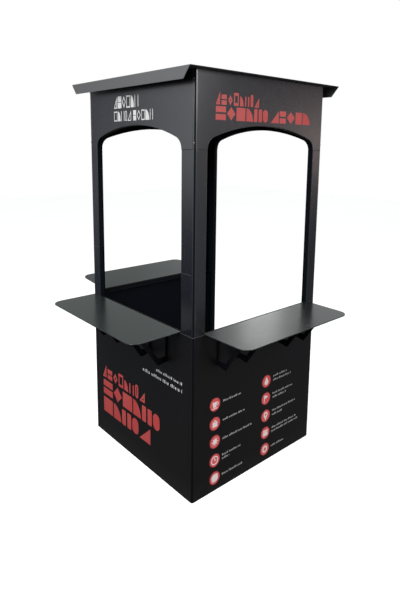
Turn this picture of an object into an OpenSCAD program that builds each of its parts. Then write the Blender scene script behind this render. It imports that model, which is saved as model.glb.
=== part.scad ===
// Street kiosk of folded sheet steel: three closed sides below, posts, arched headers and a flat
// roof above, and a serving counter on three sides. The fourth side, +X, is the open entry.
// The front faces -Y, +Z is up, and the origin is on the ground below the middle of the whole outline.

/* [Body] */
// Outside width of the body, along X
body_w = 915; // [600:1:1400]
// Outside depth of the body, along Y
body_d = 915; // [600:1:1400]
// Height of the lower panels
panel_h = 846; // [600:1:1100]
// Thickness of the folded sheet
sheet_t = 2; // [1:0.1:3]
// Outside radius of the bend at each corner of the body
corner_r = 12; // [5:1:20]
// Outside radius of every other bend
bend_r = 4; // [3.2:0.1:8]
// Depth of the flanges that stiffen the panels and headers
flange_w = 25; // [15:1:40]
// How far the front and back panels wrap on to the sides
panel_wrap = 28; // [22:1:40]
// Gap at the seams between neighbouring sheets
seam_gap = 1; // [0.5:0.1:3]

/* [Posts] */
// Width of a front post's leg on the front
post_leg = 75; // [50:1:110]
// Width of a back post's leg on the back
back_post_leg = 60; // [50:1:110]
// Width of the front left post's leg on the left side
front_post_side_leg = 93; // [50:1:110]
// Width of the front right post's leg beside the entry
entry_post_leg = 68; // [50:1:110]
// Width of a back post's leg on the side
back_post_side_leg = 75; // [50:1:110]
// Depth of the return at the edge of each window
reveal_w = 27; // [15:1:40]
// Height at which the posts end and the arches spring
spring_z = 1707; // [1400:1:2000]

/* [Headers] */
// Rise of the arch above its springing
arch_rise = 115; // [80:1:200]
// Radius of the arch's tight ends
arch_end_r = 60; // [30:1:75]
// Underside of the roof sheet
roof_z = 2050; // [1950:1:2500]
// How far the front and back headers wrap on to the sides
header_wrap = 14; // [14:1:30]

/* [Roof] */
// Overhang of the roof past the sides
roof_side = 69; // [20:1:150]
// Overhang of the roof past the front
roof_front = 47; // [20:1:150]
// Overhang of the roof past the back
roof_back = 67; // [20:1:150]
// Height of the roof's side flanges, with the sheet
roof_flange_h = 54; // [20:1:100]
// How far each end of a side flange slopes in
roof_flange_slope = 44; // [0:1:100]

/* [Counters] */
// Thickness of the counters
counter_t = 4; // [3:0.5:10]
// Depth of the counters
counter_d = 276; // [150:1:400]
// Radius of the counters' outer corners
counter_r = 55; // [10:1:100]
// Height of the counters' top face above the lower panels
counter_rise = 9; // [7:0.5:30]
// How far the front and back counters lap past each end of their windows
counter_lap = 9.5; // [-50:0.5:70]
// How far the left counter laps past the front end of its window
side_counter_front_lap = 2; // [-50:0.5:70]
// How far the left counter laps past the back end of its window
side_counter_back_lap = 55; // [-50:0.5:70]
// How much higher the back counter sits than the other two
back_counter_lift = 13; // [0:0.5:25]
// Upward lean of the back counter, in degrees
back_counter_lean = 5; // [0:0.5:10]
// Gap between a counter's inner edge and the body
counter_gap = 0.5; // [0.2:0.1:3]
// Width of the angle rail under each counter's inner edge
rail_w = 20; // [12:1:30]

/* [Brackets] */
// Distance from the body's corners to the front and back brackets
bracket_margin = 157; // [100:1:250]
// Distance from the body's corners to the left brackets
side_bracket_margin = 197; // [100:1:250]
// Width of a bracket over its two cheeks
bracket_w = 145; // [60:1:160]
// Reach of a bracket under the counter
bracket_reach = 190; // [120:1:260]
// Height of a bracket
bracket_h = 188; // [120:1:260]
// Width of a bracket's lower end
bracket_foot = 58; // [30:1:100]
// Rise of the foot's edge towards the panel
bracket_foot_rise = 9; // [0:1:20]
// Width of the bars around the cut-out in a bracket's cheek
bracket_bar = 24; // [12:1:35]
// Height of the bar below the cut-out
bracket_toe = 38; // [15:1:50]
// Radius of the corners of the cheeks and of the cut-out
bracket_r = 6; // [2:1:10]
// Width of the flanges that hold a bracket to the panel
bracket_flange = 18; // [10:1:30]

/* [Hidden] */

// The steps of an arc of 90 degrees
bend_steps = 5;
arch_steps = 32;
// What a cut runs past the sheet that it cuts
cut_over = 1;

// The outline reaches from the left counter to the roof's right flange, so the body stands off centre
body_x = (counter_d + counter_gap - roof_side) / 2;
counter_top = panel_h + counter_rise;
counter_under = counter_top - counter_t;
bracket_top = counter_under - sheet_t;
bracket_low = bracket_top - bracket_h;
// The step in a bracket's cheeks, which clears the rail
step_d = rail_w + seam_gap;
step_z = counter_under - rail_w - seam_gap;
header_h = roof_z - spring_z;
front_opening = body_w - 2 * post_leg;
back_opening = body_w - 2 * back_post_leg;
side_opening = body_d - front_post_side_leg - back_post_side_leg;
entry_opening = body_d - entry_post_leg - back_post_side_leg;
// The middle of a side opening lies off the body's middle where the legs differ
side_opening_y = (front_post_side_leg - back_post_side_leg) / 2;
entry_opening_y = (entry_post_leg - back_post_side_leg) / 2;

counter_w = front_opening + 2 * counter_lap;
side_counter_w = side_opening + side_counter_front_lap + side_counter_back_lap;
side_counter_y = side_opening_y + (side_counter_back_lap - side_counter_front_lap) / 2;
bracket_x = body_w / 2 - bracket_margin - bracket_w / 2;
side_bracket_y = body_d / 2 - side_bracket_margin - bracket_w / 2;

panel_color = "#1c1b1c";
post_color = "#3c3c42";
header_color = "#3f3f45";
roof_color = "#6a6a6c";
counter_color = "#55595a";
bracket_color = "#161617";

// ---- outlines ----

function unit(v) = v / norm(v);
function left_of(v) = [-v.y, v.x];

// Points that round one corner, at v between a and b, with radius r
function corner_arc(a, v, b, r, steps) =
    let (
        u = unit(a - v),
        w = unit(b - v),
        half = acos(max(-1, min(1, u * w))) / 2,
        middle = v + unit(u + w) * r / sin(half),
        turn = sign(cross(v - a, b - v)),
        start = v + u * r / tan(half) - middle,
        sweep = turn * (180 - 2 * half)
    )
    [for (i = [0 : steps])
        let (angle = sweep * i / steps)
        middle + [start.x * cos(angle) - start.y * sin(angle), start.x * sin(angle) + start.y * cos(angle)]];

// A closed outline with each corner rounded by its own radius
function rounded(points, radii) =
    let (count = len(points))
    [for (i = [0 : count - 1])
        each radii[i] > 0
            ? corner_arc(points[(i + count - 1) % count], points[i], points[(i + 1) % count], radii[i], bend_steps)
            : [points[i]]];

// The inside line of a folded sheet, t to the left of its outside line
function inside_line(path, t) =
    let (last = len(path) - 1)
    [for (i = [0 : last])
        let (
            back = i > 0 ? left_of(unit(path[i] - path[i - 1])) : [0, 0],
            ahead = i < last ? left_of(unit(path[i + 1] - path[i])) : [0, 0]
        )
        path[i] + t * (back + ahead)];

function reversed(items) = [for (i = [len(items) - 1 : -1 : 0]) items[i]];

// The cross-section of a sheet folded by right angles to the left along an outside line
module folded_sheet(path, radii, t = sheet_t) {
    inner = [for (r = radii) r > 0 ? r - t : 0];
    polygon(rounded(concat(path, reversed(inside_line(path, t))), concat(radii, reversed(inner))));
}

// The upper line of a three-centred arch, from its right springing to its left one
function arch_line(half_w, rise, end_r) =
    let (
        inset = half_w - end_r,
        crown_r = (inset * inset + rise * rise - end_r * end_r) / (2 * (rise - end_r)),
        meet = atan2(crown_r - rise, inset),
        crown_half = 90 - meet
    )
    concat(
        [for (i = [0 : arch_steps / 4])
            let (angle = meet * i / (arch_steps / 4))
            [inset + end_r * cos(angle), end_r * sin(angle)]],
        [for (i = [1 : arch_steps - 1])
            let (angle = meet + 2 * crown_half * i / arch_steps)
            [crown_r * cos(angle), rise - crown_r + crown_r * sin(angle)]],
        [for (i = [arch_steps / 4 : -1 : 0])
            let (angle = meet * i / (arch_steps / 4))
            [-inset - end_r * cos(angle), end_r * sin(angle)]]
    );

// ---- placing ----

// Children are drawn for the front, with the outside face on y = 0 and the middle at x = 0
module on_front() { translate([body_x, -body_d / 2, 0]) children(); }
module on_back() { translate([body_x, body_d / 2, 0]) rotate([0, 0, 180]) children(); }
module on_left() { translate([body_x - body_w / 2, 0, 0]) rotate([0, 0, -90]) children(); }
module on_right() { translate([body_x + body_w / 2, 0, 0]) rotate([0, 0, 90]) children(); }

// Children are drawn for the front left corner, with that corner at the origin
module at_corner(right, back) {
    translate([body_x + (right ? 1 : -1) * body_w / 2, (back ? 1 : -1) * body_d / 2, 0])
        mirror([right ? 1 : 0, 0, 0]) mirror([0, back ? 1 : 0, 0]) children();
}

// ---- lower body ----

// A flange that runs inward from the face, with its lower face at z
module inward_flange(w, z) {
    translate([-w / 2, 0, z]) cube([w, flange_w, sheet_t]);
}

// A lower panel that wraps round the corners on to the sides
module wrapped_panel() {
    half = body_w / 2;
    inside_w = body_w - 2 * corner_r;
    union() {
        linear_extrude(panel_h)
            folded_sheet(
                [[-half, panel_wrap], [-half, 0], [half, 0], [half, panel_wrap]],
                [0, corner_r, corner_r, 0]
            );
        inward_flange(inside_w, 0);
        inward_flange(inside_w, panel_h - sheet_t);
    }
}

// A lower panel that fits between the front and back panels
module tray_panel() {
    half = body_d / 2 - panel_wrap - seam_gap;
    inside_w = 2 * (half - bend_r);
    union() {
        linear_extrude(panel_h)
            folded_sheet(
                [[-half, flange_w], [-half, 0], [half, 0], [half, flange_w]],
                [0, bend_r, bend_r, 0]
            );
        inward_flange(inside_w, 0);
        inward_flange(inside_w, panel_h - sheet_t);
    }
}

module front_panel() { color(panel_color) on_front() wrapped_panel(); }
module back_panel() { color(panel_color) on_back() wrapped_panel(); }
module left_panel() { color(panel_color) on_left() tray_panel(); }

// The channel beside the entry, below the post's leg of the same width. Drawn for the corner at the
// origin with the entry side along Y
module entry_jamb(leg) {
    near = panel_wrap + seam_gap;
    linear_extrude(panel_h)
        folded_sheet(
            [[reveal_w, leg], [0, leg], [0, near], [reveal_w, near]],
            [0, bend_r, bend_r, 0]
        );
}

module entry_jamb_front() { color(panel_color) at_corner(true, false) entry_jamb(entry_post_leg); }
module entry_jamb_back() { color(panel_color) at_corner(true, true) entry_jamb(back_post_side_leg); }

// ---- posts ----

// An angle post with a return at the edge of each leg
module post(side_leg, leg) {
    translate([0, 0, panel_h])
        linear_extrude(spring_z - panel_h)
            folded_sheet(
                [[reveal_w, side_leg], [0, side_leg], [0, 0], [leg, 0], [leg, reveal_w]],
                [0, bend_r, corner_r, bend_r, 0]
            );
}

module front_left_post() { color(post_color) at_corner(false, false) post(front_post_side_leg, post_leg); }
module front_right_post() { color(post_color) at_corner(true, false) post(entry_post_leg, post_leg); }
module back_left_post() { color(post_color) at_corner(false, true) post(back_post_side_leg, back_post_leg); }
module back_right_post() { color(post_color) at_corner(true, true) post(back_post_side_leg, back_post_leg); }

// ---- headers ----

// What the arch cuts out of a header's face
module arch_cut(half_w) {
    translate([0, reveal_w, spring_z]) rotate([90, 0, 0])
        linear_extrude(reveal_w + cut_over)
            polygon(concat(
                [[-half_w, -cut_over], [half_w, -cut_over]],
                arch_line(half_w, arch_rise, arch_end_r)
            ));
}

// The return that runs inward along the arch
module arch_soffit(half_w) {
    translate([0, reveal_w, spring_z]) rotate([90, 0, 0])
        linear_extrude(reveal_w)
            polygon(concat(
                arch_line(half_w + sheet_t, arch_rise + sheet_t, arch_end_r + sheet_t),
                reversed(arch_line(half_w, arch_rise, arch_end_r))
            ));
}

// A header that wraps round the corners on to the sides, above an opening
module wrapped_header(opening) {
    half = body_w / 2;
    opening_half = opening / 2;
    union() {
        difference() {
            translate([0, 0, spring_z])
                linear_extrude(header_h)
                    folded_sheet(
                        [[-half, header_wrap], [-half, 0], [half, 0], [half, header_wrap]],
                        [0, corner_r, corner_r, 0]
                    );
            arch_cut(opening_half);
        }
        arch_soffit(opening_half);
        inward_flange(body_w - 2 * corner_r, roof_z - sheet_t);
    }
}

// A header that fits between the front and back headers, with its opening off the middle by shift
module flat_header(opening, shift) {
    half = body_d / 2 - header_wrap - seam_gap;
    flange_half = body_d / 2 - flange_w - seam_gap;
    opening_half = opening / 2;
    union() {
        difference() {
            translate([-half, 0, spring_z]) cube([2 * half, sheet_t, header_h]);
            translate([shift, 0, 0]) arch_cut(opening_half);
        }
        translate([shift, 0, 0]) arch_soffit(opening_half);
        inward_flange(2 * flange_half, roof_z - sheet_t);
    }
}

module front_header() { color(header_color) on_front() wrapped_header(front_opening); }
module back_header() { color(header_color) on_back() wrapped_header(back_opening); }
module left_header() { color(header_color) on_left() flat_header(side_opening, -side_opening_y); }
module right_header() { color(header_color) on_right() flat_header(entry_opening, entry_opening_y); }

// ---- roof ----

// The wedge that slopes one end of a side flange. Drawn for the end at y = 0, running to +Y
module flange_wedge(reach) {
    low = roof_z + sheet_t - roof_flange_h;
    translate([-reach, 0, 0]) rotate([90, 0, 90])
        linear_extrude(2 * reach)
            polygon([
                [-cut_over, roof_z],
                [0, roof_z],
                [roof_flange_slope, low],
                [roof_flange_slope, low - cut_over],
                [-cut_over, low - cut_over]
            ]);
}

module roof_sheet() {
    half = body_w / 2 + roof_side;
    top = roof_z + sheet_t;
    low = top - roof_flange_h;
    front = body_d / 2 + roof_front;
    back = body_d / 2 + roof_back;
    color(roof_color)
        translate([body_x, 0, 0])
            difference() {
                translate([0, back, 0]) rotate([90, 0, 0])
                    linear_extrude(front + back)
                        folded_sheet(
                            [[half, low], [half, top], [-half, top], [-half, low]],
                            [0, bend_r, bend_r, 0]
                        );
                translate([0, -front, 0]) flange_wedge(half + cut_over);
                translate([0, back, 0]) mirror([0, 1, 0]) flange_wedge(half + cut_over);
            }
}

// ---- counters ----

// A counter with rounded outer corners, its middle off the side's middle by shift. It leans up about
// the lower edge of its inner end, and reaches as far out as a level one
module counter(w, shift, lift = 0, lean = 0) {
    inner = -counter_gap;
    outer = -(counter_gap + counter_d) / cos(lean);
    translate([shift, 0, counter_under + lift]) rotate([-lean, 0, 0])
        linear_extrude(counter_t)
            polygon(rounded(
                [[-w / 2, inner], [-w / 2, outer], [w / 2, outer], [w / 2, inner]],
                [0, counter_r, counter_r, 0]
            ));
}

module front_counter() { color(counter_color) on_front() counter(counter_w, 0); }
module back_counter() {
    color(counter_color) on_back() counter(counter_w, 0, back_counter_lift, back_counter_lean);
}
module left_counter() { color(counter_color) on_left() counter(side_counter_w, -side_counter_y); }

// The angle that carries a counter's inner edge on the panel's face
// A lifted counter's rail runs its whole length, to close the gap over the panel
module counter_rail(w, shift, lift = 0, lean = 0) {
    rail_l = lift > 0 ? w : w - 2 * rail_w;
    top = counter_under + lift;
    slope = tan(lean);
    translate([shift - rail_l / 2, 0, 0]) rotate([90, 0, 90])
        linear_extrude(rail_l)
            polygon([
                [-rail_w, top + rail_w * slope],
                [-rail_w, top + rail_w * slope - sheet_t],
                [-sheet_t, top + sheet_t * slope - sheet_t],
                [-sheet_t, counter_under - rail_w],
                [0, counter_under - rail_w],
                [0, top]
            ]);
}

module front_counter_rail() { color(bracket_color) on_front() counter_rail(counter_w, 0); }
module back_counter_rail() {
    color(bracket_color) on_back() counter_rail(counter_w, 0, back_counter_lift, back_counter_lean);
}
module left_counter_rail() {
    color(bracket_color) on_left() counter_rail(side_counter_w, -side_counter_y);
}

// ---- brackets ----

// The side view of a bracket's cheek, with the panel's face at x = 0 and the counter's depth along -X.
// The cheek ends halfway up the top plate
module cheek_outline(lift, slope) {
    top = bracket_top + sheet_t / 2 + lift;
    brace = (bracket_reach - bracket_foot) / bracket_h;
    inset = bracket_bar * sqrt(1 + brace * brace);
    cut_low = bracket_low + bracket_toe;
    cut_high = step_z - bracket_bar / 2;
    cut_near = bracket_bar / 2;
    cut_low_far = bracket_foot + (cut_low - bracket_low) * brace - inset;
    cut_high_far = bracket_foot + (cut_high - bracket_low) * brace - inset;
    difference() {
        polygon(rounded(
            [
                [0, bracket_low + bracket_foot_rise],
                [0, step_z],
                [-step_d, step_z],
                [-step_d, top + step_d * slope],
                [-bracket_reach, top + bracket_reach * slope],
                [-bracket_foot, bracket_low]
            ],
            [0, 0, 0, 0, bracket_r, bracket_r]
        ));
        polygon(rounded(
            [
                [-cut_near, cut_low],
                [-cut_near, cut_high],
                [-cut_high_far, cut_high],
                [-cut_low_far, cut_low]
            ],
            [bracket_r, bracket_r, bracket_r, bracket_r]
        ));
    }
}

// A counter's bracket: two cheeks below a top plate, each with a flange on the panel
module bracket(x, lift = 0, lean = 0) {
    flange_low = bracket_low + bracket_foot_rise;
    slope = tan(lean);
    near_top = bracket_top + lift + step_d * slope;
    far_top = bracket_top + lift + bracket_reach * slope;
    translate([x, 0, 0])
        union() {
            for (side = [-1, 1]) {
                edge = side * bracket_w / 2;
                translate([min(edge, edge - side * sheet_t), 0, 0]) rotate([90, 0, 90])
                    linear_extrude(sheet_t) cheek_outline(lift, slope);
                translate([min(edge, edge - side * bracket_flange), -sheet_t, flange_low])
                    cube([bracket_flange, sheet_t, step_z - flange_low]);
            }
            translate([-bracket_w / 2, 0, 0]) rotate([90, 0, 90])
                linear_extrude(bracket_w)
                    polygon([
                        [-bracket_reach, far_top],
                        [-step_d, near_top],
                        [-step_d, near_top + sheet_t],
                        [-bracket_reach, far_top + sheet_t]
                    ]);
        }
}

module front_bracket_left() { color(bracket_color) on_front() bracket(-bracket_x); }
module front_bracket_right() { color(bracket_color) on_front() bracket(bracket_x); }
module left_bracket_front() { color(bracket_color) on_left() bracket(side_bracket_y); }
module left_bracket_back() { color(bracket_color) on_left() bracket(-side_bracket_y); }
module back_bracket_left() {
    color(bracket_color) on_back() bracket(bracket_x, back_counter_lift, back_counter_lean);
}
module back_bracket_right() {
    color(bracket_color) on_back() bracket(-bracket_x, back_counter_lift, back_counter_lean);
}

front_panel();
left_panel();
back_panel();
entry_jamb_front();
entry_jamb_back();
front_left_post();
front_right_post();
back_left_post();
back_right_post();
front_header();
left_header();
back_header();
right_header();
roof_sheet();
front_counter();
left_counter();
back_counter();
front_counter_rail();
left_counter_rail();
back_counter_rail();
front_bracket_left();
front_bracket_right();
left_bracket_front();
left_bracket_back();
back_bracket_left();
back_bracket_right();
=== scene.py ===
"""Street kiosk of powder-coated sheet steel: its finishes, fittings, printed panels, floor and light.

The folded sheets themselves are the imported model's nodes. This script coats them, adds the rivets,
screws, splice lips and printed marks that sit on them, and sets up a plain studio.
"""
import logging
import math
from dataclasses import dataclass, field
from enum import Enum

import bmesh
import bpy
from mathutils import Matrix, Vector


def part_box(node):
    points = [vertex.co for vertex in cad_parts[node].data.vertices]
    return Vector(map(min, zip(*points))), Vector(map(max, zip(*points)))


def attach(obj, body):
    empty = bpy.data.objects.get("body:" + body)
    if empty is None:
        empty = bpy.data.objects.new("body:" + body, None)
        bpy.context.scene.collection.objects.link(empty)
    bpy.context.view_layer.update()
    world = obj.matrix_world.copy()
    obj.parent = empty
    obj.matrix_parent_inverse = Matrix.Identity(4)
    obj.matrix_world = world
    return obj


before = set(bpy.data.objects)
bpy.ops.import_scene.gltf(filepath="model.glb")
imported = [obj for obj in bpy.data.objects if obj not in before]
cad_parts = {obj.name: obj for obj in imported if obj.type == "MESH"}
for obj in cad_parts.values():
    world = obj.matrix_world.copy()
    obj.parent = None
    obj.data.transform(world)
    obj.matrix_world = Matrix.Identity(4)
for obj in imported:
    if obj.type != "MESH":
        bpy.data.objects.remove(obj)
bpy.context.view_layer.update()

LOG = logging.getLogger("kiosk")
MM = 0.001
BODY = "root"

Point = tuple[float, float]
Triple = tuple[float, float, float]
Colour = Triple
Outline = list[Point]


# ---- shading ----


class Socket:
    """One output in a node tree, which adds Math nodes when it is used in an expression."""

    def __init__(self, shading: "Shading", output: bpy.types.NodeSocket) -> None:
        """Wraps an output.

        Args:
            shading: the tree that the output belongs to.
            output: the output itself.
        """
        self.shading = shading
        self.output = output

    def _math(self, operation: str, *values: "Socket | float") -> "Socket":
        """Adds a Math node.

        Args:
            operation: the Math node's operation.
            values: its inputs, in order.

        Returns:
            The node's result.
        """
        return self.shading.add("ShaderNodeMath", {"operation": operation}, dict(enumerate(values)))

    def __add__(self, other: "Socket | float") -> "Socket":
        """The sum."""
        return self._math("ADD", self, other)

    def __radd__(self, other: float) -> "Socket":
        """The sum, with the number first."""
        return self._math("ADD", other, self)

    def __sub__(self, other: "Socket | float") -> "Socket":
        """The difference."""
        return self._math("SUBTRACT", self, other)

    def __rsub__(self, other: float) -> "Socket":
        """The difference, with the number first."""
        return self._math("SUBTRACT", other, self)

    def __mul__(self, other: "Socket | float") -> "Socket":
        """The product."""
        return self._math("MULTIPLY", self, other)

    def __rmul__(self, other: float) -> "Socket":
        """The product, with the number first."""
        return self._math("MULTIPLY", other, self)

    def __abs__(self) -> "Socket":
        """The size without the sign."""
        return self._math("ABSOLUTE", self)

    def largest(self, other: "Socket | float") -> "Socket":
        """The larger of this and another value."""
        return self._math("MAXIMUM", self, other)

    def clamped(self) -> "Socket":
        """This value, held between 0 and 1."""
        return self._math("MINIMUM", self._math("MAXIMUM", self, 0.0), 1.0)

    def between(self, low: float, high: float) -> "Socket":
        """A smooth step from 0 at low to 1 at high, which may be the smaller number."""
        return ((self - low) * (1.0 / (high - low))).clamped()


class Shading:
    """The node tree of one material or of the world."""

    def __init__(self, owner: "bpy.types.Material | bpy.types.World") -> None:
        """Empties the owner's node tree.

        Args:
            owner: the material or the world.
        """
        owner.use_nodes = True
        self.tree = owner.node_tree
        self.tree.nodes.clear()

    def node(
        self,
        kind: str,
        settings: dict[str, object] | None = None,
        inputs: "dict[str | int, Socket | float | tuple | bpy.types.NodeSocket] | None" = None,
    ) -> bpy.types.Node:
        """Adds a node of any kind.

        Args:
            kind: the node's type.
            settings: its properties, and a ramp's stops as position and colour.
            inputs: a value or a link for each input, by name or index.

        Returns:
            The node.
        """
        node = self.tree.nodes.new(kind)
        for name, value in (settings or {}).items():
            if name == "stops":
                self._set_stops(node, value)
            else:
                setattr(node, name, value)
        for key, value in (inputs or {}).items():
            if isinstance(value, Socket):
                self.tree.links.new(value.output, node.inputs[key])
            else:
                node.inputs[key].default_value = value
        return node

    @staticmethod
    def _set_stops(node: bpy.types.Node, stops: list[tuple[float, Colour]]) -> None:
        """Sets a ramp's stops.

        Args:
            node: the ColorRamp node.
            stops: each stop's position and colour.
        """
        elements = node.color_ramp.elements
        while len(elements) < len(stops):
            elements.new(1.0)
        for element, (position, colour) in zip(elements, stops):
            element.position = position
            element.color = (*colour, 1.0)

    def add(
        self,
        kind: str,
        settings: dict[str, object] | None = None,
        inputs: "dict[str | int, Socket | float | tuple] | None" = None,
        output: str | int = 0,
    ) -> Socket:
        """Adds a node and wraps one of its outputs.

        Args:
            kind: the node's type.
            settings: its properties.
            inputs: its inputs.
            output: the output that is wanted, by name or index.

        Returns:
            The output.
        """
        return Socket(self, self.node(kind, settings, inputs).outputs[output])

    def mix(self, amount: "Socket | float", first: "Socket | Colour", second: "Socket | Colour") -> Socket:
        """Mixes two colours.

        Args:
            amount: how much of the second colour there is.
            first: the colour at 0.
            second: the colour at 1.

        Returns:
            The mixed colour.
        """
        sides = [side if isinstance(side, Socket) else (*side, 1.0) for side in (first, second)]
        return self.add(
            "ShaderNodeMix", {"data_type": "RGBA"}, {0: amount, 6: sides[0], 7: sides[1]}, output=2
        )

    def position(self) -> Socket:
        """The place on the kiosk, in metres in the kiosk's own frame."""
        return self.add("ShaderNodeTexCoord", output="Object")

    def stretched(self, scale: Triple) -> Socket:
        """The place on the kiosk, scaled along each axis for a texture.

        Args:
            scale: how many texture units there are to a metre, along each axis.

        Returns:
            The scaled place.
        """
        return self.add(
            "ShaderNodeVectorMath", {"operation": "MULTIPLY"}, {0: self.position(), 1: scale}
        )

    def noise(self, scale: Triple, detail: float = 3.0) -> Socket:
        """A noise around 0.5.

        Args:
            scale: how many texture units there are to a metre, along each axis.
            detail: how many finer layers it has.

        Returns:
            The noise's value.
        """
        return self.add(
            "ShaderNodeTexNoise", None, {"Vector": self.stretched(scale), "Scale": 1.0, "Detail": detail}
        )

    def along(self, axis: str) -> Socket:
        """The place along one axis, in metres.

        Args:
            axis: X, Y or Z.

        Returns:
            The place.
        """
        return self.add("ShaderNodeSeparateXYZ", None, {0: self.position()}, output=axis)


# ---- finishes ----


@dataclass(frozen=True)
class PowderCoat:
    """A sprayed and baked coat on folded steel, with mottle, fine scuffs, worn edges and dust.

    A sheet with an inner colour is rough and dark behind the body's outer faces: painted shade for the inside
    of the body.
    """

    name: str
    colour: Colour
    roughness: float
    gloss: float = 0.5
    mottle: float = 0.12
    scuffs: float = 0.10
    wear: float = 0.35
    worn: Colour = (0.16, 0.16, 0.165)
    dust: float = 0.5
    dust_height: float = 0.10
    dust_colour: Colour = (0.22, 0.205, 0.185)
    line_colour: Colour = (0.004, 0.004, 0.005)
    peel: float = 0.00003
    joint_lines: tuple[float, ...] = ()
    edge_radius: float = 0.003
    # Painted shade: the inner colour, gloss and roughness darken every face inside the body, for the shade
    # that falls there.
    inner: Colour | None = None
    inner_gloss: float = 0.08
    inner_roughness: float = 0.62
    inner_start: float = 0.0008
    inner_full: float = 0.0016

    def build(self) -> bpy.types.Material:
        """Makes the material.

        Returns:
            The material.
        """
        material = bpy.data.materials.new(self.name)
        shading = Shading(material)
        cloud = shading.noise((2.3, 2.3, 1.7), 2.0)
        grain = shading.noise((45.0, 45.0, 45.0), 4.0)
        streak = shading.noise((120.0, 120.0, 5.0), 2.0)
        tone = 1.0 + (cloud - 0.5) * (2.0 * self.mottle) + (grain - 0.5) * self.mottle
        colour = self._toned(shading, tone)
        scuff = streak.between(0.62, 0.74) * cloud.between(0.42, 0.62) * self.scuffs
        colour = shading.mix(scuff, colour, self.worn)
        soft_normal, edge = self._edges(shading)
        colour = shading.mix(edge * grain.between(0.35, 0.6) * self.wear, colour, self.worn)
        dust = shading.along("Z").between(self.dust_height, 0.0) * grain.between(0.3, 0.7) * self.dust
        colour = shading.mix(dust * 0.35, colour, self.dust_colour)
        colour = shading.mix(self._lines(shading), colour, self.line_colour)
        roughness = (self.roughness + (cloud - 0.5) * 0.10 + (grain - 0.5) * 0.08 + dust * 0.3).clamped()
        peel = shading.noise((650.0, 650.0, 650.0), 2.0)
        bump = shading.add(
            "ShaderNodeBump",
            None,
            {"Strength": 0.6, "Distance": self.peel, "Height": peel, "Normal": soft_normal},
        )
        surface = shading.add(
            "ShaderNodeBsdfPrincipled",
            None,
            {
                "Base Color": colour,
                "Roughness": roughness,
                "Normal": bump,
                "Specular IOR Level": self.gloss,
            },
        )
        # Painted shade: behind the outer faces the coat gives way to a dark, rough surface that stands in for
        # the shade inside.
        if self.inner:
            inside_shade_surface = shading.add(
                "ShaderNodeBsdfPrincipled",
                None,
                {
                    "Base Color": (*self.inner, 1.0),
                    "Roughness": self.inner_roughness,
                    "Normal": bump,
                    "Specular IOR Level": self.inner_gloss,
                },
            )
            mask = self._shaded_inside(shading)
            surface = shading.add("ShaderNodeMixShader", None, {0: mask, 1: surface, 2: inside_shade_surface})
        shading.node("ShaderNodeOutputMaterial", None, {"Surface": surface})
        return material

    def _toned(self, shading: Shading, tone: Socket) -> Socket:
        """The coat's own colour, made lighter and darker.

        Args:
            shading: the material's tree.
            tone: about 1, with the mottle in it.

        Returns:
            The colour.
        """
        return shading.mix(tone * 0.5, (0.0, 0.0, 0.0), tuple(2.0 * part for part in self.colour))

    def _shaded_inside(self, shading: Shading) -> Socket:
        """Finds what lies behind the outer faces of the body, where the coat is dark and rough as painted
        shade.

        Args:
            shading: the material's tree.

        Returns:
            A mask of it.
        """
        low, high = BODY_LOW, BODY_HIGH
        mask = shading.along("X").between(low.x + self.inner_start, low.x + self.inner_full)
        for axis, face, inward in (("X", high.x, -1), ("Y", low.y, 1), ("Y", high.y, -1)):
            place = shading.along(axis)
            mask = mask * place.between(face + inward * self.inner_start, face + inward * self.inner_full)
        return mask

    def _edges(self, shading: Shading) -> tuple[Socket, Socket]:
        """Softens the folds, and finds where they are.

        Args:
            shading: the material's tree.

        Returns:
            The softened normal, and a mask of the edges.
        """
        soft = shading.add("ShaderNodeBevel", {"samples": 4}, {"Radius": self.edge_radius})
        flat = shading.add("ShaderNodeNewGeometry", None, None, output="Normal")
        match = shading.add(
            "ShaderNodeVectorMath", {"operation": "DOT_PRODUCT"}, {0: soft, 1: flat}, output="Value"
        )
        return soft, match.between(0.985, 0.86)

    def _lines(self, shading: Shading) -> "Socket | float":
        """The dark joints where one sheet ends on another.

        Args:
            shading: the material's tree.

        Returns:
            A mask of the joints.
        """
        mask: "Socket | float" = 0.0
        for level in self.joint_lines:
            line = abs(shading.along("Z") - level).between(0.0022, 0.0008)
            mask = line if isinstance(mask, float) else mask.largest(line)
        return mask if isinstance(mask, float) else mask * 0.8


@dataclass(frozen=True)
class PrintedFilm:
    """A cut vinyl film on the coat, with slight fading and a smoother face."""

    name: str
    colour: Colour
    faded: Colour
    roughness: float = 0.42

    def build(self) -> bpy.types.Material:
        """Makes the material.

        Returns:
            The material.
        """
        material = bpy.data.materials.new(self.name)
        shading = Shading(material)
        cloud = shading.noise((6.0, 6.0, 6.0), 3.0)
        grain = shading.noise((160.0, 160.0, 160.0), 3.0)
        colour = shading.mix(cloud.between(0.35, 0.75) * 0.6, self.colour, self.faded)
        colour = shading.mix(grain.between(0.62, 0.8) * 0.25, colour, (0.05, 0.045, 0.045))
        bump = shading.add("ShaderNodeBump", None, {"Strength": 0.3, "Distance": 0.00004, "Height": grain})
        surface = shading.add(
            "ShaderNodeBsdfPrincipled",
            None,
            {"Base Color": colour, "Roughness": self.roughness + (cloud - 0.5) * 0.12, "Normal": bump},
        )
        shading.node("ShaderNodeOutputMaterial", None, {"Surface": surface})
        return material


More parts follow.
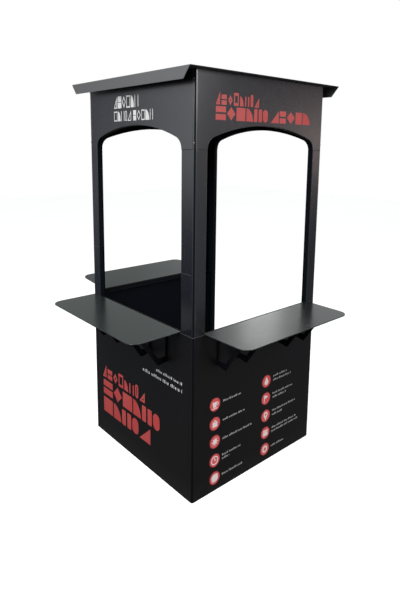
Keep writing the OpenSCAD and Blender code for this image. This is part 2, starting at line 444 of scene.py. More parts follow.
@dataclass(frozen=True)
class BareMetal:
    """Zinc-plated steel, as on the rivets and screws."""

    name: str
    colour: Colour
    roughness: float = 0.34

    def build(self) -> bpy.types.Material:
        """Makes the material.

        Returns:
            The material.
        """
        material = bpy.data.materials.new(self.name)
        shading = Shading(material)
        grain = shading.noise((380.0, 380.0, 380.0), 4.0)
        cloud = shading.noise((30.0, 30.0, 30.0), 2.0)
        colour = shading.mix(cloud.between(0.3, 0.7) * 0.5, self.colour, (0.30, 0.29, 0.27))
        bump = shading.add("ShaderNodeBump", None, {"Strength": 0.4, "Distance": 0.00004, "Height": grain})
        surface = shading.add(
            "ShaderNodeBsdfPrincipled",
            None,
            {
                "Base Color": colour,
                "Metallic": 0.9,
                "Roughness": self.roughness + (grain - 0.5) * 0.2,
                "Normal": bump,
            },
        )
        shading.node("ShaderNodeOutputMaterial", None, {"Surface": surface})
        return material


POST_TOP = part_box("front_left_post")[1].z
PANEL_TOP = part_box("front_panel")[1].z
BODY_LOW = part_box("front_panel")[0]
BODY_HIGH = Vector((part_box("front_panel")[1].x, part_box("back_panel")[1].y, POST_TOP))
BODY_WIDTH = BODY_HIGH.x - BODY_LOW.x
BODY_DEPTH = BODY_HIGH.y - BODY_LOW.y
CORNER_RADIUS = 12 * MM
# Painted shade: the dark colour given to every face inside the body.
INSIDE_SHADE: Colour = (0.0016, 0.0026, 0.0050)


class Finish(Enum):
    """The kiosk's finishes, by the part of it that wears them."""

    PANEL = PowderCoat(
        "panel_black", (0.0030, 0.0028, 0.0030), 0.42, gloss=0.30, mottle=0.10, wear=0.22,
        worn=(0.05, 0.048, 0.05), joint_lines=(PANEL_TOP,), inner=INSIDE_SHADE, dust=0.10,
    )
    POST = PowderCoat(
        "post_charcoal", (0.0036, 0.0042, 0.0062), 0.25, gloss=0.95, worn=(0.07, 0.07, 0.075), wear=0.15,
        joint_lines=(PANEL_TOP, POST_TOP), edge_radius=0.005, inner=INSIDE_SHADE,
    )
    HEADER = PowderCoat(
        "header_charcoal", (0.0070, 0.0074, 0.0096), 0.25, gloss=1.0, worn=(0.09, 0.09, 0.095), wear=0.08,
        joint_lines=(POST_TOP,), edge_radius=0.005, inner=INSIDE_SHADE,
    )
    ROOF = PowderCoat("roof_grey", (0.062, 0.063, 0.065), 0.36, gloss=0.70, worn=(0.18, 0.18, 0.18))
    COUNTER = PowderCoat(
        "counter_satin", (0.012, 0.0150, 0.0145), 0.24, gloss=0.55, mottle=0.08, scuffs=0.16, peel=0.00001,
    )
    BRACKET = PowderCoat("bracket_black", (0.0016, 0.0018, 0.0030), 0.42, gloss=0.20, worn=(0.03, 0.03, 0.03))
    RED_FILM = PrintedFilm("print_red", (0.40, 0.044, 0.042), (0.44, 0.078, 0.074))
    RIM_FILM = PrintedFilm("print_dark_red", (0.16, 0.010, 0.012), (0.20, 0.020, 0.022))
    WHITE_FILM = PrintedFilm("print_white", (0.50, 0.50, 0.50), (0.40, 0.40, 0.41))
    SIGN_FILM = PrintedFilm("print_warm_white", (0.93, 0.84, 0.82), (0.88, 0.72, 0.70))
    GREY_FILM = PrintedFilm("print_grey", (0.46, 0.46, 0.46), (0.36, 0.36, 0.36))
    BADGE_FILM = PrintedFilm("print_badge_red", (0.74, 0.095, 0.100), (0.78, 0.15, 0.15))
    # Partly painted highlight: the light coat and heavy edge wear make the lips and splices bright lines on
    # the posts, partly worn paint and partly a highlight painted into the colour.
    LIP = PowderCoat(
        "lip_charcoal_and_highlight", (0.034, 0.034, 0.038), 0.34, gloss=0.6, worn=(0.14, 0.14, 0.14), wear=0.5
    )
    STEEL = BareMetal("zinc_steel", (0.24, 0.24, 0.25))


MATERIALS: dict[Finish, bpy.types.Material] = {finish: finish.value.build() for finish in Finish}


# ---- placing ----


class Side(Enum):
    """A side of the body as seen from outside, with u to the viewer's right, v up and w outward."""

    FRONT = "front"
    LEFT = "left"
    BACK = "back"
    RIGHT = "right"

    def matrix(self) -> Matrix:
        """The matrix from (u, v, w) on this side to the kiosk's own frame."""
        low, high = BODY_LOW, BODY_HIGH
        along, outward, corner = {
            Side.FRONT: ((1, 0, 0), (0, -1, 0), (low.x, low.y, 0)),
            Side.LEFT: ((0, -1, 0), (-1, 0, 0), (low.x, high.y, 0)),
            Side.BACK: ((-1, 0, 0), (0, 1, 0), (high.x, high.y, 0)),
            Side.RIGHT: ((0, 1, 0), (1, 0, 0), (high.x, low.y, 0)),
        }[self]
        columns = Matrix((along, (0, 0, 1), outward)).transposed().to_4x4()
        columns.translation = Vector(corner)
        return columns

    def span(self, node: str) -> Triple:
        """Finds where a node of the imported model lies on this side.

        Args:
            node: the node's name.

        Returns:
            The u of its two ends, and the v of its foot.
        """
        low, high = (self.matrix().inverted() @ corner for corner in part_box(node))
        near, far = sorted((low.x, high.x))
        return near, far, low.y


class PieceMesh:
    """One piece, put together from plates, strips and heads."""

    rivet_steps = 16
    socket_steps = 18
    smooth_angle = math.radians(35)

    def __init__(self, matrix: Matrix | None = None) -> None:
        """Starts an empty piece.

        Args:
            matrix: from the coordinates that the parts are given in to the kiosk's own frame.
        """
        self.mesh = bmesh.new()
        self.matrix = matrix or Matrix.Identity(4)

    def plate(self, outline: Outline, low: float, high: float) -> None:
        """Adds a flat plate.

        Args:
            outline: its outline in u and v, anticlockwise.
            low: the w of its underside.
            high: the w of its top.
        """
        under = [self.mesh.verts.new(self.matrix @ Vector((u, v, low))) for u, v in outline]
        over = [self.mesh.verts.new(self.matrix @ Vector((u, v, high))) for u, v in outline]
        self.mesh.faces.new(over)
        self.mesh.faces.new(list(reversed(under)))
        self._join(under, over)

    def _join(self, under: list[bmesh.types.BMVert], over: list[bmesh.types.BMVert]) -> None:
        """Joins two loops of as many corners with a band of faces.

        Args:
            under: the lower or outer loop.
            over: the upper or inner loop.
        """
        count = len(under)
        for i in range(count):
            after = (i + 1) % count
            self.mesh.faces.new((under[i], under[after], over[after], over[i]))

    def head(self, centre: Point, w: float, profile: Outline, socket: float = 0.0) -> None:
        """Adds the head of a rivet or a screw.

        Args:
            centre: its middle in u and v.
            w: the face that it sits on.
            profile: the radius and height of each ring, from the rim to the middle.
            socket: the radius of a six-sided socket in it, or 0.
        """
        steps = self.socket_steps if socket else self.rivet_steps
        rings = list(profile)
        if socket:
            rings += [(socket, rings[-1][1]), (socket * 0.96, rings[-1][1] * 0.35)]
        loops = []
        for index, (radius, height) in enumerate(rings):
            in_socket = socket and index >= len(profile)
            loop = []
            for i in range(steps):
                angle = 2 * math.pi * i / steps
                reach = radius
                if in_socket:
                    reach *= math.cos(math.pi / 6) / math.cos((angle % (math.pi / 3)) - math.pi / 6)
                u, v = centre[0] + reach * math.cos(angle), centre[1] + reach * math.sin(angle)
                loop.append(self.mesh.verts.new(self.matrix @ Vector((u, v, w + height))))
            loops.append(loop)
        for under, over in zip(loops, loops[1:]):
            self._join(under, over)
        self.mesh.faces.new(loops[-1])

    def place(self, name: str, finish: Finish, slot: str = "", smooth: bool = False) -> bpy.types.Object:
        """Turns the parts into a piece that rides on the body.

        Args:
            name: the piece's name.
            finish: its finish.
            slot: not used.
            smooth: whether shallow edges are shaded smooth.

        Returns:
            The piece.
        """
        bmesh.ops.recalc_face_normals(self.mesh, faces=self.mesh.faces)
        data = bpy.data.meshes.new(name)
        self.mesh.to_mesh(data)
        self.mesh.free()
        if smooth:
            data.shade_smooth()
            data.set_sharp_from_angle(angle=self.smooth_angle)
        data.materials.append(MATERIALS[finish])
        piece = bpy.data.objects.new(name, data)
        bpy.context.scene.collection.objects.link(piece)
        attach(piece, BODY)
        LOG.info("%s: %d faces", name, len(data.polygons))
        return piece


def arc(x: float, y: float, radius: float, start: float, sweep: float, steps: int) -> Outline:
    """Points along an arc, with both its ends.

    Args:
        x: its middle.
        y: its middle.
        radius: its radius.
        start: the angle that it starts at, in degrees.
        sweep: how far round it goes, in degrees.
        steps: the steps along it.

    Returns:
        The points.
    """
    angles = [math.radians(start + sweep * i / steps) for i in range(steps + 1)]
    return [(x + radius * math.cos(angle), y + radius * math.sin(angle)) for angle in angles]


def rounded_box(low: Point, high: Point, radius: float, steps: int = 3) -> Outline:
    """Outlines a box with rounded corners.

    Args:
        low: its lower left corner.
        high: its upper right corner.
        radius: the radius of its corners.
        steps: the steps in each corner.

    Returns:
        The outline, anticlockwise.
    """
    radius = min(radius, (high[0] - low[0]) / 2.01, (high[1] - low[1]) / 2.01)
    middles = (
        (high[0] - radius, low[1] + radius, -90),
        (high[0] - radius, high[1] - radius, 0),
        (low[0] + radius, high[1] - radius, 90),
        (low[0] + radius, low[1] + radius, 180),
    )
    return [point for x, y, start in middles for point in arc(x, y, radius, start, 90, steps)]


def ring(
    x: float, y: float, outer: float, inner: float, start: float = 0, sweep: float = 360
) -> list[Outline]:
    """Outlines a ring or a part of one, as a run of short pieces.

    Args:
        x: its middle.
        y: its middle.
        outer: its outer radius.
        inner: its inner radius.
        start: the angle that it starts at, in degrees.
        sweep: how far round it goes, in degrees.

    Returns:
        The pieces' outlines, anticlockwise.
    """
    steps = max(4, round(sweep / 15))
    inside, outside = (arc(x, y, radius, start, sweep, steps) for radius in (inner, outer))
    return [[inside[i], outside[i], outside[i + 1], inside[i + 1]] for i in range(steps)]


def band(inner: Outline, outer: Outline) -> list[Outline]:
    """Outlines the band between two loops of as many corners, one piece for each side.

    Args:
        inner: the inner loop, anticlockwise.
        outer: the outer loop, anticlockwise.

    Returns:
        The pieces' outlines, anticlockwise.
    """
    sides = zip(inner, outer, outer[1:] + outer[:1], inner[1:] + inner[:1])
    return [list(side) for side in sides]


# ---- the folded sheets ----


@dataclass
class SheetWork:
    """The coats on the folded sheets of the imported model."""

    coats: dict[str, Finish] = field(
        default_factory=lambda: {
            "panel": Finish.PANEL,
            "jamb": Finish.PANEL,
            "post": Finish.POST,
            "header": Finish.HEADER,
            "roof": Finish.ROOF,
            "rail": Finish.BRACKET,
            "bracket": Finish.BRACKET,
            "counter": Finish.COUNTER,
        }
    )

    def dress(self) -> None:
        """Coats every node."""
        for name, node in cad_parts.items():
            finish = next(coat for word, coat in self.coats.items() if word in name)
            if not node.material_slots:
                node.data.materials.append(None)
            for slot in node.material_slots:
                slot.material = MATERIALS[finish]
            LOG.info("%s: %s", name, finish.value.name)


@dataclass
class CornerStrips:
    """The thin lips and splices that go round the posts."""

    lip_height: float = 3 * MM
    lip_proud: float = 0.7 * MM
    splice_level: float = 1.1405
    splice_height: float = 2.5 * MM
    splice_proud: float = 0.5 * MM
    splice_inset: float = 5 * MM
    splice_corner: float = 0.8 * MM
    corner_steps: int = 8

    def build(self) -> None:
        """Builds a lip at the foot of each post, and the splices below half way up their side legs."""
        turn = Matrix(((0, 0, -1, 0), (1, 0, 0, 0), (0, 1, 0, 0), (0, 0, 0, 1)))
        corners = {
            "front_left": (BODY_LOW.x, BODY_LOW.y, 1, 1),
            "front_right": (BODY_HIGH.x, BODY_LOW.y, -1, 1),
            "back_left": (BODY_LOW.x, BODY_HIGH.y, 1, -1),
            "back_right": (BODY_HIGH.x, BODY_HIGH.y, -1, -1),
        }
        for name, (x, y, right, back) in corners.items():
            low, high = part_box(f"{name}_post")
            legs = high - low
            at_corner = Matrix.Translation((x, y, 0)) @ Matrix.Diagonal((right, back, 1, 1))
            # The lips and splices take the light lip finish, whose brightness is partly a painted highlight.
            lip = PieceMesh(at_corner)
            lip.plate(self._angle(legs.x, legs.y), PANEL_TOP, PANEL_TOP + self.lip_height)
            lip.place(f"{name}_post_lip", Finish.LIP, "post_charcoal")
            splice = PieceMesh(at_corner @ turn)
            strip = rounded_box(
                (CORNER_RADIUS + self.splice_inset, self.splice_level),
                (legs.y - self.splice_inset, self.splice_level + self.splice_height),
                self.splice_corner,
            )
            splice.plate(strip, 0.0, self.splice_proud)
            splice.place(f"{name}_post_splice", Finish.LIP, "post_charcoal")

    def _angle(self, along_x: float, along_y: float) -> Outline:
        """Outlines a lip on the outside of a post, with the corner at the origin.

        Args:
            along_x: its reach along X.
            along_y: its reach along Y.

        Returns:
            The outline, anticlockwise.
        """
        lines = []
        for out in (self.lip_proud, 0.0):
            bend = arc(CORNER_RADIUS, CORNER_RADIUS, CORNER_RADIUS + out, 180, 90, self.corner_steps)
            lines.append([(-out, along_y), *bend, (along_x, -out)])
        return lines[0] + list(reversed(lines[1]))


# ---- fasteners ----


@dataclass
class Fasteners:
    """Rivets and screws."""

    rivet: Outline = field(
        default_factory=lambda: [
            (3.3 * MM, 0.0), (3.3 * MM, 0.3 * MM), (2.9 * MM, 0.8 * MM), (2.0 * MM, 1.25 * MM),
            (0.9 * MM, 1.45 * MM),
        ]
    )
    button: Outline = field(
        default_factory=lambda: [
            (4.6 * MM, 0.0), (4.6 * MM, 0.5 * MM), (4.1 * MM, 1.5 * MM), (3.1 * MM, 2.2 * MM),
            (2.3 * MM, 2.4 * MM),
        ]
    )
    socket: float = 1.5 * MM
    sheet: float = 2 * MM
    wrap_levels: tuple[float, ...] = (1.7375, 2.0075)
    wrap_inset: float = 7 * MM
    wrap_sink: float = 0.6 * MM
    roof_inset: float = 15 * MM
    roof_parts: tuple[float, ...] = (0.08, 0.29, 0.50, 0.71, 0.92)
    bracket_inset: float = 9 * MM
    bracket_levels: tuple[float, ...] = (28 * MM, 138 * MM)
    rail_parts: tuple[float, ...] = (0.06, 0.28, 0.50, 0.72, 0.94)
    rail_level: float = 8 * MM
    jamb_inset: float = 14 * MM
    jamb_levels: tuple[float, ...] = (0.09, 0.31, 0.53, 0.75)

    def build(self) -> None:
        """Builds them all."""
        self._wrap_rivets()
        self._roof_rivets()
        for side in (Side.FRONT, Side.LEFT, Side.BACK):
            self._bracket_screws(side)
        for side in (Side.FRONT, Side.LEFT, Side.BACK):
            self._rail_rivets(side)
        self._jamb_rivets()

    def _wrap_rivets(self) -> None:
        """The rivets that hold each header's wrap."""
        for side in (Side.LEFT, Side.RIGHT):
            piece = PieceMesh(side.matrix())
            for u in (self.wrap_inset, BODY_DEPTH - self.wrap_inset):
                for v in self.wrap_levels:
                    piece.head((u, v), -self.wrap_sink, self.rivet)
            piece.place(f"{side.value}_wrap_rivets", Finish.STEEL, smooth=True)

    def _roof_rivets(self) -> None:
        """The rivets through the roof into the headers' top flanges."""
        top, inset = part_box("roof_sheet")[1].z, self.roof_inset
        piece = PieceMesh()
        for part in self.roof_parts:
            x, y = BODY_LOW.x + part * BODY_WIDTH, BODY_LOW.y + part * BODY_DEPTH
            for spot in (
                (x, BODY_LOW.y + inset), (x, BODY_HIGH.y - inset),
                (BODY_LOW.x + inset, y), (BODY_HIGH.x - inset, y),
            ):
                piece.head(spot, top, self.rivet)
        piece.place("roof_rivets", Finish.ROOF, "roof_grey", smooth=True)

    def _bracket_screws(self, side: Side) -> None:
        """The screws through the flanges of one side's brackets.

        Args:
            side: the side.
        """
        piece = PieceMesh(side.matrix())
        for name in sorted(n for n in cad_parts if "bracket" in n and n.startswith(side.value)):
            near, far, foot = side.span(name)
            for u in (near + self.bracket_inset, far - self.bracket_inset):
                for level in self.bracket_levels:
                    piece.head((u, foot + level), self.sheet, self.button, self.socket)
        piece.place(f"{side.value}_bracket_screws", Finish.BRACKET, "bracket_black", smooth=True)

    def _rail_rivets(self, side: Side) -> None:
        """The rivets through one side's rail into its panel.

        Args:
            side: the side.
        """
        piece = PieceMesh(side.matrix())
        near, far, foot = side.span(f"{side.value}_counter_rail")
        for part in self.rail_parts:
            piece.head((near + (far - near) * part, foot + self.rail_level), self.sheet, self.rivet)
        piece.place(f"{side.value}_rail_rivets", Finish.BRACKET, "bracket_black", smooth=True)

    def _jamb_rivets(self) -> None:
        """The rivets that join the entry jambs to the panels that wrap round them."""
        piece = PieceMesh(Side.RIGHT.matrix())
        for u in (self.jamb_inset, BODY_DEPTH - self.jamb_inset):
            for v in self.jamb_levels:
                piece.head((u, v), 0.0, self.rivet)
        piece.place("entry_wrap_rivets", Finish.PANEL, "panel_black", smooth=True)


# ---- print ----


class Motif(Enum):
    """The plain shapes that the patterned rows are made of."""

    DISC = "disc"
    WEDGE = "wedge"
    SLABS = "slabs"
    DIAMOND = "diamond"
    SQUARE = "square"
    QUARTER = "quarter"
    PAIR = "pair"

    def outlines(self, low: Point, high: Point, bar: float, open_: bool) -> list[Outline]:
        """Draws the shape in a box.

        Args:
            low: the box's lower left corner.
            high: its upper right corner.
            bar: the width of its bars.
            open_: whether it is drawn as a frame.

        Returns:
            The outlines of its parts.
        """
        (left, floor), (right, top) = low, high
        middle, half_way = (left + right) / 2, (floor + top) / 2
        if self is Motif.DISC:
            radius = min(right - left, top - floor) / 2
            outer = rounded_box(low, high, radius, 6)
            if not open_:
                return [outer]
            inner = rounded_box((left + bar, floor + bar), (right - bar, top - bar), radius - bar, 6)
            return band(inner, outer)
        if self is Motif.SLABS:
            return [
                rounded_box((left, floor), (right, half_way - 0.3 * bar), 0.2 * bar),
                rounded_box((left, half_way + 0.3 * bar), (right, top), 0.2 * bar),
            ]
        if self is Motif.PAIR:
            width = bar if open_ else 0.42 * (right - left)
            return [
                rounded_box((left, floor), (left + width, top), 0.2 * width),
                rounded_box((right - width, floor), (right, top), 0.2 * width),
            ]
        corners = {
            Motif.WEDGE: [(left, floor), (right, floor), (right, top)],
            Motif.DIAMOND: [(right, half_way), (middle, top), (left, half_way), (middle, floor)],
            Motif.SQUARE: [(left, floor), (right, floor), (right, top), (left, top)],
            Motif.QUARTER: [(left, floor)]
            + [(left + (right - left) * x, floor + (top - floor) * y) for x, y in arc(0, 0, 1, 0, 90, 9)],
        }[self]
        return hollow(corners, bar) if open_ and self is not Motif.QUARTER else [corners]


def hollow(corners: Outline, stroke: float) -> list[Outline]:
    """Turns a triangle, a diamond or a box into a frame.

    Args:
        corners: its corners, anticlockwise.
        stroke: the width of the frame's bars.

    Returns:
        The outlines of the bars.
    """
    following = corners[1:] + corners[:1]
    sides = [math.dist(a, b) for a, b in zip(corners, following)]
    weights = sides[1:] + sides[:1] if len(corners) == 3 else [1.0] * len(corners)
    centre = tuple(sum(w * c[axis] for w, c in zip(weights, corners)) / sum(weights) for axis in (0, 1))
    area = 0.5 * sum(a[0] * b[1] - a[1] * b[0] for a, b in zip(corners, following))
    inside = 2 * area / sum(sides)
    keep = max(0.05, 1 - stroke / inside)
    inner = [tuple(centre[axis] + keep * (c[axis] - centre[axis]) for axis in (0, 1)) for c in corners]
    return band(inner, corners)


class Weight(Enum):
    """How heavy a row is: its bars' and gaps' width over its height, and if its shapes are frames."""

    THIN = (0.085, 0.12, True)
    REGULAR = (0.15, 0.16, True)
    BOLD = (0.23, 0.12, False)


@dataclass(frozen=True)
class PatternRow:
    """A row of plain shapes in a pattern."""

    start: float
    end: float
    low: float
    high: float
    weight: Weight
    groups: tuple[int, ...]
    first: int = 0
    low_part: float = 1.0

    def outlines(self) -> list[Outline]:
        """Lays the row out.

        Returns:
            The shapes' outlines.
        """
        height = self.high - self.low
        bar, gap = (part * height for part in self.weight.value[:2])
        count = sum(self.groups)
        breaks = {sum(self.groups[: i + 1]) for i in range(len(self.groups) - 1)}
        room = self.end - self.start - (count - 1) * gap - len(breaks) * 2.2 * gap
        shares = [(1.0, 0.82, 1.06, 0.9, 1.0, 0.76, 0.94, 0.6)[(i + self.first) % 8] for i in range(count)]
        motifs = list(Motif)
        cursor, outlines = self.start, []
        for index, share in enumerate(shares):
            width = room * share / sum(shares)
            top = self.high if index % 3 == 0 or self.low_part == 1.0 else self.low + self.low_part * height
            motif = motifs[(index + self.first) % len(motifs)]
            outlines += motif.outlines((cursor, self.low), (cursor + width, top), bar, self.weight.value[2])
            cursor += width + gap * (3.2 if index + 1 in breaks else 1.0)
        return outlines


@dataclass(frozen=True)
class BlockRow:
    """A row of small upright blocks that stands for a line of print without saying anything."""

    start: float
    end: float
    low: float
    high: float
    seed: int
    words: tuple[int, ...] = (5, 7, 4, 6, 8)

    def outlines(self) -> list[Outline]:
        """Lays the row out.

        Returns:
            The blocks' outlines.
        """
        height = self.high - self.low
        widths: list[float] = []
        spaces: list[float] = []
        word = list(self.words)
        count, total = 0, 0.0
        while total < self.end - self.start:
            spread = 0.5 + 0.5 * math.sin(12.9898 * (self.seed + 7 * len(widths)))
            count += 1
            last = count >= word[0]
            if last:
                word, count = word[1:] + word[:1], 0
            widths.append((0.20 + 0.38 * spread) * height)
            spaces.append((0.85 if last else 0.34) * height)
            total += widths[-1] + spaces[-1]
        spaces[-1] = 0.0
        scale = (self.end - self.start) / (sum(widths) + sum(spaces))
        cursor, outlines = self.start, []
        for index, (width, space) in enumerate(zip(widths, spaces)):
            drop = (0.0, 0.28, 0.28, 0.0, 0.28)[(index * 3 + self.seed) % 5] * height
            corner = (cursor + width * scale, self.high - drop)
            outlines.append(rounded_box((cursor, self.low), corner, 0.1 * height, 2))
            cursor += (width + space) * scale
        return outlines


class Pictogram(Enum):
    """The plain signs in the round badges."""

    CUP = "cup"
    BAG = "bag"
    SPARK = "spark"
    CLOCK = "clock"
    LEAF = "leaf"
    DROP = "drop"
    FLAG = "flag"
    PIN = "pin"
    BOX = "box"
    RING = "ring"

    def outlines(self) -> list[Outline]:
        """Draws the sign within a unit disc.

        Returns:
            The outlines of its parts.
        """
        if self is Pictogram.CUP:
            cup = [(-0.38, 0.30), (-0.26, -0.34), (0.16, -0.34), (0.28, 0.30)]
            saucer = rounded_box((-0.46, -0.52), (0.36, -0.42), 0.04)
            return [cup, *ring(0.30, 0.04, 0.22, 0.12, -80, 160), saucer]
        if self is Pictogram.BAG:
            return [rounded_box((-0.36, -0.42), (0.36, 0.20), 0.08), *ring(0.0, 0.18, 0.24, 0.15, 0, 180)]
        if self is Pictogram.SPARK:
            points = []
            for i in range(16):
                reach = 0.56 if i % 2 == 0 else 0.24
                points.append((reach * math.cos(math.pi * i / 8), reach * math.sin(math.pi * i / 8)))
            return [points]
        if self is Pictogram.CLOCK:
            hand = rounded_box((-0.05, 0.0), (0.05, 0.34), 0.03)
            side_hand = rounded_box((-0.05, -0.05), (0.26, 0.05), 0.03)
            return [*ring(0.0, 0.0, 0.54, 0.43), hand, side_hand]
        if self is Pictogram.LEAF:
            side, other = arc(0.0, 0.0, 0.5, 90, 90, 6), arc(0.0, 0.0, 0.5, 270, 90, 6)
            return [[(0.42, 0.42), (0.0, 0.5), *side[1:], (-0.42, -0.42), (0.0, -0.5), *other[1:]]]
        if self is Pictogram.DROP:
            return [[(0.0, 0.56), *arc(0.0, -0.14, 0.34, 150, 240, 16)]]
        if self is Pictogram.FLAG:
            pole = rounded_box((-0.34, -0.50), (-0.24, 0.50), 0.04)
            return [pole, [(-0.2, 0.46), (-0.2, -0.06), (0.42, 0.20)]]
        if self is Pictogram.PIN:
            point = [(-0.26, -0.12), (0.0, -0.58), (0.26, -0.12), (0.0, -0.17)]
            return [*ring(0.0, 0.16, 0.36, 0.17), point]
        if self is Pictogram.BOX:
            lid = rounded_box((-0.46, 0.17), (0.46, 0.36), 0.05)
            return [rounded_box((-0.42, -0.40), (0.42, 0.10), 0.05), lid]
        return [*ring(0.0, 0.0, 0.46, 0.24)]


@dataclass
class PrintedPanels:
    """The films on the headers and the lower panels."""

    film: float = 0.35 * MM
    badge_radius: float = 36 * MM
    badge_steps: int = 40
    rim_width: float = 3 * MM
    sign_scale: float = 44 * MM
    line_height: float = 11 * MM
    lines: tuple[Triple, ...] = (
        (0.200, 0.325, 0.472), (0.200, 0.355, 0.370), (0.200, 0.412, 0.268), (0.200, 0.330, 0.178),
        (0.200, 0.250, 0.158), (0.200, 0.345, 0.070), (0.577, 0.690, 0.487), (0.577, 0.725, 0.463),
        (0.577, 0.745, 0.385), (0.577, 0.690, 0.362), (0.577, 0.775, 0.283), (0.577, 0.660, 0.258),
        (0.577, 0.790, 0.180), (0.577, 0.805, 0.158), (0.577, 0.680, 0.070),
    )
    badges: tuple[Point, ...] = (
        (0.145, 0.470), (0.146, 0.368), (0.148, 0.270), (0.148, 0.168), (0.150, 0.070),
        (0.522, 0.472), (0.522, 0.372), (0.524, 0.270), (0.526, 0.168), (0.526, 0.070),
    )

    def build(self) -> None:
        """Builds every film."""
        for name, (side, finish, rows) in self._table().items():
            piece = PieceMesh(side.matrix())
            for row in rows:
                for outline in row.outlines():
                    piece.plate(outline, 0.0, self.film)
            piece.place(name, finish)
        self._badges()

    def _table(self) -> "dict[str, tuple[Side, Finish, list[BlockRow | PatternRow]]]":
        """Lays out the rows of each film.

        Returns:
            Each film's side, finish and rows, by the piece's name.
        """
        edge, half = BODY_DEPTH, self.line_height / 2
        return {
            "left_panel_title": (Side.LEFT, Finish.RED_FILM, [
                PatternRow(edge - 0.830, edge - 0.395, 0.362, 0.440, Weight.REGULAR, (8,), 1, 0.78),
                PatternRow(edge - 0.825, edge - 0.262, 0.255, 0.345, Weight.BOLD, (6,), 2),
                PatternRow(edge - 0.825, edge - 0.345, 0.143, 0.235, Weight.BOLD, (5,), 4),
            ]),
            "left_panel_lines": (Side.LEFT, Finish.WHITE_FILM, [
                BlockRow(edge - 0.290, edge - 0.080, 0.585, 0.600, 2),
                BlockRow(edge - 0.410, edge - 0.080, 0.546, 0.564, 4),
            ]),
            "left_header_title": (Side.LEFT, Finish.WHITE_FILM, [
                PatternRow(edge - 0.655, edge - 0.430, 1.910, 1.970, Weight.THIN, (6,), 1),
                PatternRow(edge - 0.655, edge - 0.308, 1.845, 1.895, Weight.THIN, (5, 5), 4),
            ]),
            "front_header_title": (Side.FRONT, Finish.RED_FILM, [
                PatternRow(0.120, 0.400, 1.907, 1.965, Weight.REGULAR, (8,), 1, 0.78),
                PatternRow(0.120, 0.800, 1.840, 1.900, Weight.BOLD, (6, 5), 2),
            ]),
            "front_panel_lines": (Side.FRONT, Finish.GREY_FILM, [
                BlockRow(start, end, level - half, level + half, index)
                for index, (start, end, level) in enumerate(self.lines)
            ]),
        }

    def _badges(self) -> None:
        """The round badges and the signs in them."""
        badges, rims, signs = (PieceMesh(Side.FRONT.matrix()) for _ in range(3))
        for (u, v), pictogram in zip(self.badges, Pictogram):
            badges.plate(arc(u, v, self.badge_radius, 0, 360, self.badge_steps)[:-1], 0.0, self.film)
            for outline in pictogram.outlines():
                moved = [(u + x * self.sign_scale, v + y * self.sign_scale) for x, y in outline]
                signs.plate(moved, self.film, 2 * self.film)
            for outline in ring(u, v, self.badge_radius, self.badge_radius - self.rim_width):
                rims.plate(outline, self.film, 1.5 * self.film)
        badges.place("front_panel_badges", Finish.BADGE_FILM)
        rims.place("front_panel_badge_rims", Finish.RIM_FILM)
        signs.place("front_panel_signs", Finish.SIGN_FILM)


# ---- studio ----


@dataclass
class Camera:
    """The camera, at standing height off the corner between the left and front sides."""

    place: Triple = (-1.76575, -2.1245, 1.723)
    heading: float = 48.43
    dip: float = 9.18
    roll: float = 0.69
    lens: float = 29.93
    shift: Point = (-0.0088, -0.122)

    def build(self) -> None:
        """Makes the scene's camera."""
        yaw, pitch, tilt = (math.radians(angle) for angle in (self.heading, self.dip, self.roll))
        ahead = Vector((math.cos(yaw) * math.cos(pitch), math.sin(yaw) * math.cos(pitch), -math.sin(pitch)))
        right = Vector((math.sin(yaw), -math.cos(yaw), 0.0))
        up = right.cross(ahead)
        turned_right = math.cos(tilt) * right + math.sin(tilt) * up
        turned_up = -math.sin(tilt) * right + math.cos(tilt) * up
        matrix = Matrix((turned_right, turned_up, -ahead)).transposed().to_4x4()
        matrix.translation = Vector(self.place)
        data = bpy.data.cameras.new("camera")
        data.sensor_width = 36
        data.lens = self.lens
        data.shift_x, data.shift_y = self.shift
        camera = bpy.data.objects.new("camera", data)
        camera.matrix_world = matrix
        bpy.context.scene.collection.objects.link(camera)
        bpy.context.scene.camera = camera


@dataclass(frozen=True)
class Softbox:
    """A soft area light, aimed at a point."""

    name: str
    place: Triple
    aim: Triple
    size: Point
    power: float

    def build(self) -> None:
        """Makes the light."""
        data = bpy.data.lights.new(self.name, "AREA")
        data.shape = "RECTANGLE"
        data.size, data.size_y = self.size
        data.energy = self.power
        light = bpy.data.objects.new(self.name, data)
        light.location = self.place
        light.rotation_euler = (Vector(self.aim) - Vector(self.place)).to_track_quat("-Z", "Y").to_euler()
        light.visible_camera = False
        bpy.context.scene.collection.objects.link(light)


@dataclass(frozen=True)
class Patch:
    """A round patch of the surroundings, lighter or darker than the room round it."""

    towards: Triple
    start: float
    full: float
    colour: Colour

    def over(self, shading: Shading, direction: Socket, room: Socket) -> Socket:
        """Lays the patch over the room.

        Args:
            shading: the world's tree.
            direction: the direction looked in.
            room: the room's colour.

        Returns:
            The colour with the patch in it.
        """
        middle = tuple(Vector(self.towards).normalized())
        match = shading.add(
            "ShaderNodeVectorMath", {"operation": "DOT_PRODUCT"}, {0: direction, 1: middle}, output="Value"
        )
        return shading.mix(match.between(self.start, self.full), room, self.colour)


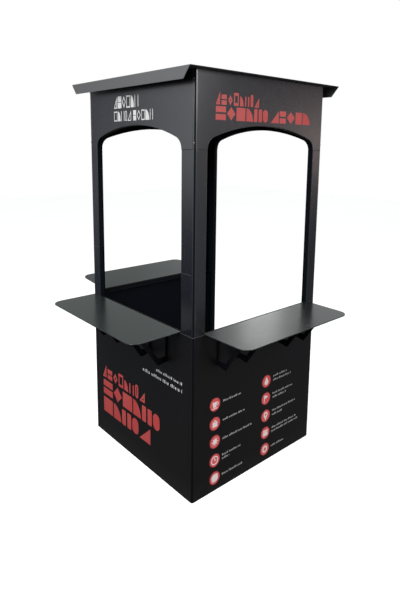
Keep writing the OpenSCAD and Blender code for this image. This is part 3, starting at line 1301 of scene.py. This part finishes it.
@dataclass
class Studio:
    """A pale floor and soft light."""

    floor_reach: float = 14.0
    floor_colour: Colour = (0.86, 0.86, 0.86)
    floor_glow: float = 0.50
    lights: list[Softbox] = field(
        default_factory=lambda: [
            Softbox("key", (-3.2, -1.0, 3.2), (0.1, 0.0, 1.1), (2.0, 2.0), 182.0),
            Softbox("fill", (0.8, -3.6, 3.0), (0.1, 0.0, 1.1), (2.0, 2.0), 78.0),
            Softbox("far_streak", (3.42, 2.50, 2.0), (0.02, -0.6, 0.86), (0.52, 2.2), 6.5),
        ]
    )

    patches: list[Patch] = field(
        default_factory=lambda: [
            Patch((-0.66, -0.75, 0.0), 0.55, 0.92, (0.10, 0.10, 0.105)),
            Patch((-0.67, 0.74, 0.16), 0.952, 0.992, (1.18, 1.185, 1.24)),
            Patch((-0.38, 0.92, 0.10), 0.944, 0.986, (0.12, 0.13, 0.16)),
            Patch((-0.60, 0.74, -0.32), 0.958, 0.988, (0.01, 0.02, 0.04)),
            Patch((0.16, -0.98, 0.08), 0.84, 0.965, (0.36, 0.36, 0.38)),
            Patch((0.62, -0.78, 0.05), 0.90, 0.985, (0.48, 0.48, 0.52)),
            Patch((0.80, -0.58, 0.21), 0.95, 0.985, (0.02, 0.02, 0.04)),
            Patch((0.80, -0.58, -0.18), 0.95, 0.988, (0.08, 0.09, 0.11)),
            Patch((0.81, -0.585, 0.012), 0.9950, 0.9996, (2.0, 1.58, 1.46)),
            Patch((0.52, 0.85, 0.17), 0.968, 0.993, (0.32, 0.345, 0.335)),
            Patch((0.76, 0.55, 0.36), 0.955, 0.99, (0.60, 0.62, 0.62)),
        ]
    )
    room_strength: float = 1.25
    room: list[tuple[float, Colour]] = field(
        default_factory=lambda: [
            (0.0, (0.10, 0.096, 0.090)),
            (0.30, (0.12, 0.12, 0.125)),
            (0.38, (0.20, 0.22, 0.25)),
            (0.47, (0.66, 0.67, 0.71)),
            (0.54, (1.0, 1.0, 1.0)),
            (0.61, (0.40, 0.42, 0.42)),
            (0.72, (0.30, 0.33, 0.325)),
            (1.0, (0.60, 0.60, 0.60)),
        ]
    )

    def build(self) -> None:
        """Makes the floor, the surroundings and the lights."""
        bpy.context.scene.view_settings.view_transform = "Standard"
        self._floor()
        self._surroundings()
        for light in self.lights:
            light.build()

    def _floor(self) -> None:
        """The floor: one broad plain sheet."""
        reach = self.floor_reach
        data = bpy.data.meshes.new("floor")
        corners = [(-reach, -reach, 0), (reach, -reach, 0), (reach, reach, 0), (-reach, reach, 0)]
        data.from_pydata(corners, [], [(0, 1, 2, 3)])
        material = bpy.data.materials.new("floor_paint")
        shading = Shading(material)
        cloud = shading.noise((0.6, 0.6, 0.6), 2.0)
        shade = tuple(0.97 * part for part in self.floor_colour)
        colour = shading.mix(cloud.between(0.3, 0.7), self.floor_colour, shade)
        surface = shading.add(
            "ShaderNodeBsdfPrincipled",
            None,
            {
                "Base Color": colour,
                "Roughness": 0.9,
                "Emission Color": (1.0, 1.0, 1.0, 1.0),
                "Emission Strength": self.floor_glow,
            },
        )
        shading.node("ShaderNodeOutputMaterial", None, {"Surface": surface})
        data.materials.append(material)
        floor = bpy.data.objects.new("floor", data)
        floor.visible_glossy = False
        floor.visible_diffuse = False
        bpy.context.scene.collection.objects.link(floor)

    def _surroundings(self) -> None:
        """Plain white behind the kiosk, and a soft room with a dark side for what the sheets reflect."""
        world = bpy.data.worlds.new("surroundings")
        bpy.context.scene.world = world
        shading = Shading(world)
        direction = shading.add("ShaderNodeTexCoord", output="Generated")
        rise = shading.add("ShaderNodeSeparateXYZ", None, {0: direction}, output="Z")
        level = rise * 0.5 + 0.5
        room = shading.add("ShaderNodeValToRGB", {"stops": self.room}, {0: level})
        for patch in self.patches:
            room = patch.over(shading, direction, room)
        seen = shading.add("ShaderNodeLightPath", output="Is Camera Ray")
        plain = shading.add("ShaderNodeBackground", None, {"Color": (1.0, 1.0, 1.0, 1.0), "Strength": 1.0})
        lit = shading.add("ShaderNodeBackground", None, {"Color": room, "Strength": self.room_strength})
        both = shading.add("ShaderNodeMixShader", None, {0: seen, 1: lit, 2: plain})
        shading.node("ShaderNodeOutputWorld", None, {"Surface": both})


def main() -> None:
    """Builds the scene in order."""
    logging.basicConfig(level=logging.INFO, format="%(name)s: %(message)s")
    Camera().build()
    Studio().build()
    SheetWork().dress()
    CornerStrips().build()
    Fasteners().build()
    PrintedPanels().build()


if __name__ == "__main__":
    main()
